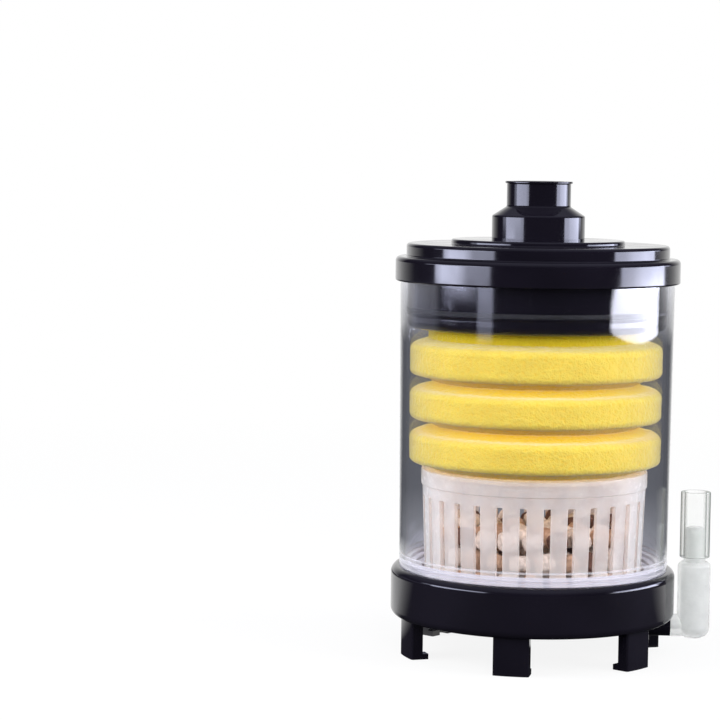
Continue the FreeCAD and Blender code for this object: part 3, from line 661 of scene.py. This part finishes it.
def make_floor():
    """Square floor, seen as nearly white and still keeping the object's soft shadow."""
    half_side = 30 / MM
    corners = half_side * np.array([[-1, -1, 0], [1, -1, 0], [1, 1, 0], [-1, 1, 0]], float)
    floor = mesh_object("floor", corners, np.array([[0, 1, 2, 3]]), smooth=False)
    material, tree, place = new_finish("matt_white_paper")
    # Seamless paper: white to the eye and dimmer to the object, so that its lower edge stays dark. Seen
    # through the clear wall the paper behind it glows grey: a painted shade that darkens the gaps inside
    # the barrel. Only the paper behind the object shows in it as a reflection.
    rays = add_node(tree, "LightPath").outputs
    eye, mirrored, through = (rays["Is %s Ray" % kind] for kind in ("Camera", "Glossy", "Transmission"))
    unseen = add_node(tree, "Mix", {0: mirrored, 6: "#606062", 7: "#2c2c30"}, data_type="RGBA")
    paper = add_node(tree, "Mix", {0: eye, 6: unseen, 7: "#f6f6f7"}, data_type="RGBA")
    matt = {"Roughness": 0.9, "Specular IOR Level": 0.1, "Base Color": paper}

    # Where each kind of ray meets the paper's plain tone and not its shaded white: by the distance in
    # metres from the canister's foot, and by the bearing there, which is y / distance and so 1 straight
    # behind it.
    distance = add_node(tree, "VectorMath", (place,), operation="LENGTH")
    behind = add_node(tree, "SeparateXYZ", (place,)).outputs["Y"]
    bearing = add_node(tree, "Math", (behind, distance), operation="DIVIDE")
    plain = 0.0
    for ray, *spans in (
            (eye, (distance, 0.15, 0.9, 0.88, 1.0)),
            (mirrored, (distance, 0.27, 0.32, 1, 0), (bearing, 0.15, 0.5, 0, 1)),
            (mirrored, (bearing, 0.85, 0.96, 0, 1)),
            (mirrored, (distance, 1.6, 1.9, 0, 1), (bearing, 0.45, 0.85, 0, 1)),
            (through, (bearing, 0.0, 0.1, 0, 1))):
        seen = add_node(tree, "Math", (ray, ramps(tree, *spans)), operation="MULTIPLY")
        plain = add_node(tree, "Math", (plain, seen), operation="MAXIMUM")

    # Painted shade seen through the clear wall: grey, palest right by the canister, darkest at mid
    # distance and pale far off.
    near_far = add_node(tree, "MapRange", (distance, 0.25, 0.50, 0, 1))
    near = add_node(tree, "Mix", {0: near_far, 6: "#96989e", 7: "#66686e"}, data_type="RGBA")
    far_off = add_node(tree, "MapRange", (distance, 1.8, 3.0, 0, 1))
    through_wall_shade = add_node(tree, "Mix", {0: far_off, 6: near, 7: "#e9eaf0"}, data_type="RGBA")
    tone = add_node(tree, "Mix", {0: through, 6: "#ffffff", 7: through_wall_shade}, data_type="RGBA")
    glow = add_node(tree, "Emission", {"Color": tone, "Strength": 1.0})
    surface = add_node(tree, "MixShader", (plain, add_node(tree, "BsdfPrincipled", matt), glow))
    add_node(tree, "OutputMaterial", {"Surface": surface})
    floor.data.materials.append(material)


def make_world(scene):
    """White behind the object, dim in front of it for bent rays, and an even fill for matt surfaces."""
    world = bpy.data.worlds.new("studio")
    world.use_nodes = True
    scene.world = world
    tree = world.node_tree
    tree.nodes.clear()
    direction = add_node(tree, "TexCoord").outputs["Generated"]
    depth, up = add_node(tree, "SeparateXYZ", (direction,)).outputs[1:]
    rays = add_node(tree, "LightPath").outputs
    matt, mirrored, through = (rays["Is %s Ray" % kind] for kind in ("Diffuse", "Glossy", "Transmission"))
    backdrop = add_node(tree, "MapRange", (depth, 0.72, 0.95, 0, 1))
    room = add_node(tree, "Mix", {0: backdrop, 6: "#24232e", 7: "#ffffff"}, data_type="RGBA")
    overhead = add_node(tree, "MapRange", (up, 0.35, 0.85, 0, 1))
    ceiling = add_node(tree, "Math", (overhead, mirrored), operation="MULTIPLY")
    reflected = add_node(tree, "Mix", {0: ceiling, 6: room, 7: "#888a9a"}, data_type="RGBA")
    fill = add_node(tree, "Mix", {0: matt, 6: "#ffffff", 7: "#c8cad2"}, data_type="RGBA")
    bent = add_node(tree, "Math", (mirrored, through), operation="MAXIMUM")
    both = add_node(tree, "Mix", {0: bent, 6: fill, 7: reflected}, data_type="RGBA")
    background = add_node(tree, "Background", {"Color": both, "Strength": 1.0})
    add_node(tree, "OutputWorld", {"Surface": background})


def soft_box(scene, name, azimuth, distance, width, low, high, radiance, tint="#ffffff", edge=0.0,
             lean=0.0):
    """Upright rectangular lamp facing the canister's axis. azimuth is counted in degrees from the front
    (-Y) towards +X, and its power is radiance * pi * area. edge is the share of the lamp over which it
    fades in from each of its sides, and lean how far its near side bends away towards the top. A lamp
    with such an edge only shows in reflections, and any other only lights matt surfaces."""
    lamp = bpy.data.lights.new(name, "AREA")
    lamp.shape, lamp.size, lamp.size_y = "RECTANGLE", width, high - low
    lamp.energy = radiance * math.pi * width * (high - low)
    lamp.color = hex_colour(tint)[:3]
    glossy = edge > 0
    if glossy:
        lamp.use_nodes = True
        tree = lamp.node_tree
        tree.nodes.clear()
        surface = add_node(tree, "NewGeometry").outputs["Parametric"]
        across, up = add_node(tree, "SeparateXYZ", (surface,)).outputs[:2]
        curve = add_node(tree, "Math", (up, 5.0), operation="POWER")
        bend = add_node(tree, "Math", (curve, lean), operation="MULTIPLY")
        bent = add_node(tree, "Math", (across, bend), operation="SUBTRACT")
        sides = [ramps(tree, (start, 0, edge, 0, 1), (end, 1 - edge, 1, 1, 0))
                 for start, end in ((bent, across), (up, up))]
        cloth = {"Strength": add_node(tree, "Math", sides, operation="MULTIPLY")}
        add_node(tree, "OutputLight", {"Surface": add_node(tree, "Emission", cloth)})
    holder = bpy.data.objects.new(name, lamp)
    scene.collection.objects.link(holder)
    upright = Matrix.Rotation(math.radians(90), 4, "X")
    place = Matrix.Translation((0, -distance, (low + high) / 2))
    holder.matrix_world = Matrix.Rotation(math.radians(azimuth), 4, "Z") @ place @ upright
    holder.visible_camera = False
    holder.visible_glossy = holder.visible_transmission = glossy
    holder.visible_diffuse = not glossy


def make_lamps(scene):
    """Each highlight on the polished pieces has lamps of its own, and three more light the matt ones."""
    cool, pale = "#e0e4ff", "#eef0ff"
    # name, azimuth, distance, width, low end, high end, radiance, tint, edge, lean; lengths in metres
    for row in (
            ("right_gloss", 92, 0.55, 0.54, 0.112, 0.24, 8.5, cool, 0.05),
            ("right_peak", 95, 0.54, 0.34, 0.112, 0.155, 4.0, cool, 0.3),
            ("right_high", 104, 0.54, 0.50, 0.150, 0.24, 3.0, cool, 0.1),
            ("right_low", 90, 0.55, 0.60, 0.084, 0.128, 8.8, pale, 0.05, 0.4),
            ("left_gloss", -61, 0.55, 0.54, 0.116, 0.24, 6.2, cool, 0.05),
            ("left_peak", -71, 0.54, 0.32, 0.116, 0.155, 8.0, cool, 0.3),
            ("left_high", -70, 0.54, 0.60, 0.150, 0.24, 2.5, cool, 0.1),
            ("left_strip", -42, 0.56, 0.15, 0.080, 0.122, 1.7, cool, 0.15),
            ("left_low", -108, 0.57, 0.50, 0.080, 0.122, 0.35, cool, 0.2),
            ("right_key", 72, 0.9, 0.7, 0.10, 0.90, 5.0),
            ("left_fill", -72, 0.9, 0.7, 0.10, 0.90, 5.0),
            ("front_fill", 5, 1.3, 0.8, 0.3, 1.2, 4.5)):
        soft_box(scene, *row)


def make_camera(scene):
    """Long lens at the photograph's angle: pitched down, turned left of the object and rolled a
    little."""
    down, left, roll = (math.radians(angle) for angle in (4.71, 4.04, 0.68))
    distance, height = 1.005, 0.200
    data = bpy.data.cameras.new("camera")
    data.lens, data.sensor_width = 125.0, 36.0
    camera = bpy.data.objects.new("camera", data)
    scene.collection.objects.link(camera)
    camera.matrix_world = (Matrix.Translation((0, -distance, height)) @ Matrix.Rotation(left, 4, "Z")
                           @ Matrix.Rotation(math.pi / 2 - down, 4, "X") @ Matrix.Rotation(roll, 4, "Z"))
    scene.camera = camera


# Pieces

class FILTER_OT_base(bpy.types.Operator):
    """Black base ring with its feet and screws, and the inlet fitting under the barrel"""
    bl_idname = "filter.base"
    bl_label = "Base"

    def execute(self, context):
        radius, bottom, top = node_span("base_ring")
        wall, barrel_foot, well = 3, 54.05, 46.9
        web, web_top, shelf = bottom + 2, bottom + 4.4, bottom + 8
        profile = rounded_profile([
            (NECK_HOLE, web), (radius - wall, web, 0.8), (radius - wall, bottom), (radius, bottom, 2.9),
            (radius, top, 3.0), (barrel_foot, top), (barrel_foot - 0.1, shelf), (well, shelf),
            (well, web_top), (NECK_HOLE, web_top)])
        # The ring has finer columns where the inlet pipe passes through it.
        pipe_level, pipe_radius, pipe_start = 11.9, 4.8, 24.0
        points, faces = turned(profile, context.scene.filter_sizes.round_segments,
                               finer=np.radians(np.linspace(-5, 5, 41)))
        ring = mesh_object("collar_ring", notched(points, pipe_level, pipe_radius, pipe_start), faces)
        fitted(context, ring, "base", "black_abs", "base_ring")
        for i in range(1, 7):
            smooth_copy(context, "foot_%d" % i, "leg_%d" % i, "base", "black_abs")
        smooth_copy(context, "foot_screws", "leg_screws", "base", "stainless_steel")
        smooth_copy(context, "inlet_manifold", "sump_fitting", "base", "black_abs")
        smooth_copy(context, "inlet_washer", "sump_washer", "base", "black_rubber")
        smooth_copy(context, "inlet_nut", "sump_nut", "base", "black_abs")
        return {"FINISHED"}


def notched(points, level, radius, start):
    """Passage for a pipe along +X: points under it are lifted to z = max(z, level + sqrt(radius^2 -
    y^2))."""
    x, y, z = points.T
    passage = level + np.sqrt(np.clip(radius ** 2 - y ** 2, 0, None))
    under_it = (x > start) & (np.abs(y) < radius)
    return np.stack([x, y, np.where(under_it, np.maximum(z, passage), z)], axis=1)


class FILTER_OT_barrel(bpy.types.Operator):
    """Clear tapered barrel with its stepped floor round a well"""
    bl_idname = "filter.barrel"
    bl_label = "Barrel"

    def execute(self, context):
        radius, bottom, top = node_span("barrel")
        wall, taper, well, step_rise = 2.4, 1.1, 44.6, 1.4
        shelf, foot, well_top = bottom + 3.6, radius - taper, bottom + wall
        outer_step = 38.0
        middle_step, inner_step = outer_step - step_rise, outer_step - 2 * step_rise
        inner = foot + (outer_step - shelf) / (top - shelf) * taper - wall
        run = (inner - well) / 3
        turned_piece(context, "clear_barrel", [
            (foot, shelf, 0.4), (radius, top, 0.6), (radius - wall, top, 0.6), (inner, outer_step),
            (inner - run, outer_step, 0.5), (inner - run, middle_step),
            (inner - 2 * run, middle_step, 0.5), (inner - 2 * run, inner_step),
            (well, inner_step, 0.5), (well, well_top, 0.8), (NECK_HOLE, well_top), (NECK_HOLE, bottom),
            (well + 2, bottom, 1.2), (well + 2, inner_step - wall), (foot - wall, inner_step - wall, 0.8),
            (foot - wall, shelf),
        ], "base", "clear_acrylic", "barrel")
        return {"FINISHED"}


class FILTER_OT_lid(bpy.types.Operator):
    """Stepped black lid with its plug and ribs, seals and hose nozzle"""
    bl_idname = "filter.lid"
    bl_label = "Lid and nozzle"

    def execute(self, context):
        rim, plug_bottom, top = node_span("lid")
        step_top, rim_top, gasket_top, rim_bottom = top - 1.8, top - 7.1, top - 8.05, plug_bottom + 13
        step, disc, plug, roof = rim - 4.35, rim - 22.25, 52.09, top - 4.4
        skirt, plug_inside, hole = rim - 1.7, plug - 2.4, 14.85
        groove, groove_low, groove_high = plug - 1.4, plug_bottom + 1.0, plug_bottom + 3.0
        ribs = [turned_bar(23, plug - 2, 2.0, roof - 7, roof + 0.4, math.radians(22.5 + 45 * i))
                for i in range(8)]
        turned_piece(context, "stepped_lid", [
            (rim, rim_bottom, 0.7), (rim, rim_top, 1.8), (step, rim_top, 0.6), (step, step_top, 1.3),
            (disc, step_top, 0.4), (disc, top, 0.9), (hole, top), (hole, roof), (plug_inside, roof, 1.5),
            (plug_inside, plug_bottom), (plug, plug_bottom, 0.6), (plug, groove_low), (groove, groove_low),
            (groove, groove_high), (plug, groove_high), (plug, gasket_top), (skirt, gasket_top),
            (skirt, rim_bottom),
        ], "lid", "black_abs", "lid", extra=ribs)
        foot, foot_bottom, nozzle_top = node_span("nozzle")
        bore, tail, lip, shank, seal = 10.2, 12.8, 13.5, 14.8, 13.8
        cone_bottom, cone_top, lip_bottom = top + 9.5, top + 13.2, nozzle_top - 0.9
        seal_low, seal_high = top - 3.8, top - 2.0
        turned_piece(context, "hose_nozzle", [
            (bore, foot_bottom), (shank, foot_bottom, 0.4), (shank, seal_low), (seal, seal_low),
            (seal, seal_high), (shank, seal_high), (shank, top), (foot, top), (foot, cone_bottom, 0.9),
            (tail, cone_top, 0.9), (tail, lip_bottom, 0.3), (lip, lip_bottom, 0.3), (lip, nozzle_top, 0.3),
            (bore, nozzle_top, 0.5),
        ], "lid", "black_abs", "nozzle")
        smooth_copy(context, "lid_gasket", "rim_gasket", "lid", "black_rubber")
        smooth_copy(context, "plug_seal", "plug_ring", "lid", "black_rubber")
        smooth_copy(context, "nozzle_seal", "nozzle_ring", "lid", "black_rubber")
        smooth_copy(context, "nozzle_nut", "nozzle_locknut", "lid", "black_abs")
        return {"FINISHED"}


def turned_bar(start, end, width, low, high, angle, rounding=0.3):
    """Rounded bar along a radius from start to end, turned to an angle."""
    points, faces = rounded_bar((start, -width / 2, low), (end, width / 2, high), rounding)
    return turned_about_axis(points, angle), faces


class FILTER_OT_cartridge(bpy.types.Operator):
    """Head plate, slotted core tube and the three foam rings"""
    bl_idname = "filter.cartridge"
    bl_label = "Foam cartridge"

    def execute(self, context):
        radius, bottom, top = node_span("head_plate")
        hole, wall = 11.05, 2.2
        floor_top = bottom + wall
        ribs = [turned_bar(20, radius - 1.1, 1.8, floor_top - 0.4, top - 1, math.radians(45 * i))
                for i in range(8)]
        turned_piece(context, "head_dish", [
            (hole, bottom), (radius, bottom, 3.0), (radius, top, 0.5), (radius - wall, top, 0.5),
            (radius - wall, floor_top, 0.8), (hole, floor_top),
        ], "cartridge", "black_abs", "head_plate", extra=ribs)
        smooth_copy(context, "core_tube", "slotted_core", "cartridge", "black_abs")
        smooth_copy(context, "core_nut", "core_locknut", "cartridge", "black_abs")
        for i, name in enumerate(("lower", "middle", "upper")):
            surface = foam_surface(context.scene.filter_sizes, name + "_foam", i)
            ring = mesh_object("foam_ring_" + name, *surface)
            fitted(context, ring, "cartridge", "yellow_foam", name + "_foam")
        return {"FINISHED"}


def foam_surface(sizes, node, index):
    """Foam ring, with index 0 the lowest of the three: a turned profile whose cut faces are pushed in
    along their normals by near(r) * (depth * (1 - cell distance) + wave * soft noise), where near(r)
    fades to 0 towards the bore. The lowest has a recess for the core tube's flange, and the highest a
    neck under the head plate."""
    radius, bottom, top = node_span(node)
    valley, neck, slope, inner = radius - 9.5, radius - 7.2, radius - 5.6, 11.3
    flange, recess, end = 24.3, bottom + 2, bottom + 17.5
    corners = [(valley, bottom), (slope, bottom + 2.1, 3.0), (radius, bottom + 2.7, 2.9)]
    if index == 2:
        corners += [(radius, end - 2.2, 3.2), (neck, end), (neck, top), (inner, top), (inner, bottom)]
    else:
        corners += [(radius, end - 2.7, 2.9), (slope, end - 2.1, 3.0), (valley, end), (inner, end),
                    (inner, bottom)]
    if index == 0:
        corners[-1:] = [(inner, recess), (flange, recess), (flange, bottom)]
    grid, coarse_grid, fade = sizes.foam_grid / MM, 5.0, 4
    profile = spread(rounded_profile(corners, flat_edge=0.4), grid, coarse_grid, valley - fade)
    segments = int(2 * math.pi * radius / grid)
    points, faces = turned(profile, segments)
    ahead, behind = np.roll(profile, -1, axis=0), np.roll(profile, 1, axis=0)
    along = ahead - behind
    along /= np.maximum(np.linalg.norm(along, axis=1)[:, None], 1e-9)
    out, up = np.repeat(along[:, 1], segments), np.repeat(-along[:, 0], segments)
    around = np.tile(np.linspace(0, 2 * np.pi, segments, endpoint=False), len(profile))
    normals = np.stack([out * np.cos(around), out * np.sin(around), up], 1)
    near = np.clip((np.hypot(points[:, 0], points[:, 1]) - valley + fade) / fade, 0, 1)
    cell_reach, wave_width = 0.75, 9.0
    cells = 1 - np.clip(cell_distance(points, sizes.foam_pore / MM, 11 + index) / cell_reach, 0, 1)
    waves = 0.5 + 0.5 * soft_noise(points, wave_width, 5 + index)
    dent = sizes.foam_depth / MM * cells + sizes.foam_wave / MM * waves
    return points - normals * (dent * near)[:, None], faces


def spread(outline, fine, coarse, fine_from):
    """Points along a closed outline, close together where the radius is past fine_from and wide apart
    inside."""
    following = np.roll(outline, -1, axis=0)
    spans = np.linalg.norm(following - outline, axis=1)
    step = np.where(np.maximum(outline[:, 0], following[:, 0]) > fine_from, fine, coarse)
    counts = np.maximum(1, np.round(spans / step).astype(int))
    start = np.repeat(np.arange(len(outline)), counts)
    share = (np.arange(counts.sum()) - np.repeat(np.cumsum(counts) - counts, counts)) / counts[start]
    return outline[start] + (following - outline)[start] * share[:, None]


class FILTER_OT_basket(bpy.types.Operator):
    """Milky slotted basket with its lid, and the ceramic media in it"""
    bl_idname = "filter.basket"
    bl_label = "Media basket"

    def execute(self, context):
        sizes = context.scene.filter_sizes
        floor_low, floor_high, floor_radius = 28.1, 29.9, 42.2
        floor = slotted_disc(floor_low, floor_high, floor_radius)
        basket = mesh_object("slotted_basket", *joined(basket_wall(), floor))
        bevel = basket.modifiers.new("soft_edges", "BEVEL")
        bevel.width, bevel.segments, bevel.limit_method = sizes.slot_bevel, 2, "ANGLE"
        bevel.angle_limit = math.radians(50)
        weighted_normals(basket)
        fitted(context, basket, "basket", "milky_polypropylene", "media_basket")
        smooth_copy(context, "basket_lid", "slotted_basket_lid", "basket", "milky_polypropylene")
        for kind, surfaces in media_surfaces(sizes).items():
            pieces = mesh_object("media_pieces_" + kind, *joined(*surfaces))
            fitted(context, pieces, "basket", kind + "_ceramic", "ceramic_media_" + kind)
        return {"FINISHED"}


def basket_wall():
    """Tapered wall with 30 slots whose upper corners are round, a lip above them and a ledge inside the
    lip."""
    lip_radius, bottom, top = node_span("media_basket")
    foot, taper, thick, half, corner, soft = 43.2, 2.0, 1.8, 1.4, 0.5, 0.6
    lip_bottom, slot_low, ledge = top - 6.3, 31.4, top - 2.0
    slot_top = lip_bottom - 4.3
    slots, first = 30, math.radians(7.0 - 90.0)

    def outer(z):
        return foot + taper * (z - bottom) / (top - bottom)

    quarter = np.linspace(0, np.pi / 2, 7)
    straight = np.linspace(slot_low, slot_top - corner, 12)[:-1]
    slot = np.concatenate([straight, slot_top - corner + corner * np.sin(quarter)])
    round_end = half - corner + corner * np.cos(quarter)
    slot_widths = np.concatenate([np.full(len(straight), half), round_end])
    heights = np.concatenate([[bottom, slot_low - 1.5], slot, [slot_top + 1.5, lip_bottom]])
    widths = np.concatenate([[half, half], slot_widths, [half, half]])
    outside = np.stack([outer(heights), heights], 1)
    inside_heights = np.concatenate([heights[:-1], [lip_bottom + 1]])
    inside = np.stack([outer(inside_heights) - thick, inside_heights], 1)
    ledge_inner = outer(ledge) - thick
    ledge_outer = ledge_inner + 1.2
    crown = np.array([
        (lip_radius, lip_bottom), (lip_radius, lip_bottom + 2), (lip_radius, top - soft),
        (lip_radius - 0.3 * soft, top - 0.3 * soft), (lip_radius - soft, top), (ledge_outer, top),
        (ledge_outer, ledge), (ledge_inner, ledge)])
    loop = np.vstack([outside, crown, inside[::-1]])
    loop_widths = np.concatenate([widths, np.full(len(crown), half), widths[::-1]])
    mates = [(row, len(loop) - 1 - row) for row in range(2, 2 + len(slot))]
    return slotted_shell(loop, mates, loop_widths, slots, first)


def slotted_disc(low, high, radius):
    """Plate with 12 straight slots along its radii, between its middle and its rim."""
    slots, start, end, half = 12, 15.0, 37.0, 2.5
    radii = np.array([0.0, 8.0, start, 22.0, 30.0, end, radius])
    upper = np.stack([radii, np.full(len(radii), high)], 1)[::-1]
    lower = np.stack([radii, np.full(len(radii), low)], 1)
    loop = np.vstack([upper, lower])
    from_end_to_start = (1, 2, 3, 4)
    mates = [(row, len(loop) - 1 - row) for row in from_end_to_start]
    return slotted_shell(loop, mates, np.full(len(loop), half), slots)


def ceramic_stub(half_width, half_height):
    """Stubby rod: its point (u, v) is (a p(cos v) q(cos u), b p(cos v) q(sin u), h s(sin v)), where p, q
    and s raise a number's size to the power 2 / 3.2, 2 / 2.2 and 2 / 3.6 and keep its sign."""
    turns, rises = 12, 9
    u = np.linspace(0, 2 * np.pi, turns, endpoint=False)[None, :]
    v = np.linspace(-np.pi / 2, np.pi / 2, rises)[:, None]

    def power(value, exponent):
        return np.sign(value) * np.abs(value) ** exponent

    across = power(np.cos(v), 2 / 3.2)
    x = half_width[0] * across * power(np.cos(u), 2 / 2.2)
    y = half_width[1] * across * power(np.sin(u), 2 / 2.2)
    points = np.stack([x, y, half_height * power(np.sin(v), 2 / 3.6) + 0 * u], axis=-1)
    return points.reshape(-1, 3), grid_faces(rises, turns, False, True)


def media_surfaces(sizes):
    """Ceramic pieces by kind: stubby rods swollen by soft noise, tipped at random and set down in rings,
    layer by layer, on the basket's floor."""
    draw = np.random.default_rng(41)
    surfaces = {"white": [], "tan": [], "brown": []}
    lot = ("white", "tan", "white", "brown", "white", "white", "tan", "white")
    boxes = [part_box("ceramic_media_" + kind) for kind in surfaces]
    low = min(box[0].z for box in boxes) / MM
    outermost = max(box[1].y for box in boxes) / MM
    settled, layers, pitch, row_shift, most_tip = 3.5, 3, 9.5, 0.37, 0.5
    high = max(box[1].z for box in boxes) / MM - settled
    layer_height = (high - low) / layers
    number = 0
    for layer in range(layers):
        for ring, radius in enumerate(np.arange(outermost - 4.6, 3, -pitch)):
            count = int(math.pi / math.asin(pitch / 2 / radius))
            for i in range(count):
                angle = 2 * math.pi * (i + row_shift * ring + 0.5 * (layer % 2)) / count
                half_width = sizes.media_width / MM / 2 * draw.uniform(0.86, 1.0, 2)
                half_height = layer_height / 2 * draw.uniform(0.82, 1.02)
                points, faces = ceramic_stub(half_width, half_height)
                number += 1
                points *= 1 + 0.09 * soft_noise(points + 50 * number, 4.0, 3)[:, None]
                tip = [Matrix.Rotation(draw.uniform(-most_tip, most_tip), 3, axis) for axis in "XY"]
                spin = Matrix.Rotation(draw.uniform(0, 6.283), 3, "Z")
                points = points @ np.array(tip[0] @ tip[1] @ spin).T
                heaped = layer == layers - 1
                lift = sizes.media_heap / MM * max(0.0, draw.uniform(-0.6, 1.0)) if heaped else 0.0
                reach = min(radius, outermost - np.abs(points[:, :2]).max() - 0.2)
                centre = (reach * math.cos(angle), reach * math.sin(angle),
                          low + layer_height * (layer + 0.5) + lift)
                surfaces[lot[int(draw.integers(len(lot)))]].append((points + centre, faces))
    return surfaces


class FILTER_OT_inlet(bpy.types.Operator):
    """Frosted inlet elbow with its rubber ring, and the clear riser tube"""
    bl_idname = "filter.inlet"
    bl_label = "Inlet elbow and riser"

    def execute(self, context):
        smooth_copy(context, "elbow", "inlet_elbow", "elbow", "frosted_polypropylene")
        smooth_copy(context, "elbow_seal", "elbow_ring", "elbow", "black_rubber")
        low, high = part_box("riser_tube")
        centre = ((low.x + high.x) / 2 / MM, 0.0)
        radius, bottom, top = (high.x - low.x) / 2 / MM, low.z / MM, high.z / MM
        bore = radius - 1.5
        turned_piece(context, "riser_pipe", [
            (bore, bottom), (radius, bottom, 0.3), (radius, top, 0.3), (bore, top),
        ], "riser", "clear_tube", "riser_tube", centre=centre)
        return {"FINISHED"}


OPERATORS = (FILTER_OT_stage, FILTER_OT_base, FILTER_OT_barrel, FILTER_OT_lid, FILTER_OT_cartridge,
             FILTER_OT_basket, FILTER_OT_inlet)


class FILTER_PT_sidebar(bpy.types.Panel):
    """Lists the filter's pieces, sizes and colours"""
    bl_idname = "FILTER_PT_sidebar"
    bl_label = "Canister filter"
    bl_space_type = "VIEW_3D"
    bl_region_type = "UI"
    bl_category = "Filter"

    def draw(self, context):
        for group in (context.scene.filter_sizes, context.scene.filter_colours):
            for name in group.bl_rna.properties.keys():
                if name not in {"rna_type", "name"}:
                    self.layout.prop(group, name)
        for operator in OPERATORS:
            self.layout.operator(operator.bl_idname)


CLASSES = (FilterSizes, FilterColours, *OPERATORS, FILTER_PT_sidebar)


def register():
    for item in CLASSES:
        bpy.utils.register_class(item)
    bpy.types.Scene.filter_sizes = bpy.props.PointerProperty(type=FilterSizes)
    bpy.types.Scene.filter_colours = bpy.props.PointerProperty(type=FilterColours)


def unregister():
    del bpy.types.Scene.filter_colours
    del bpy.types.Scene.filter_sizes
    for item in reversed(CLASSES):
        bpy.utils.unregister_class(item)


def main():
    """Registers the classes and makes the stage and the pieces."""
    register()
    bpy.ops.filter.stage()
    bpy.ops.filter.base()
    bpy.ops.filter.barrel()
    bpy.ops.filter.lid()
    bpy.ops.filter.cartridge()
    bpy.ops.filter.basket()
    bpy.ops.filter.inlet()


if __name__ == "__main__":
    main()
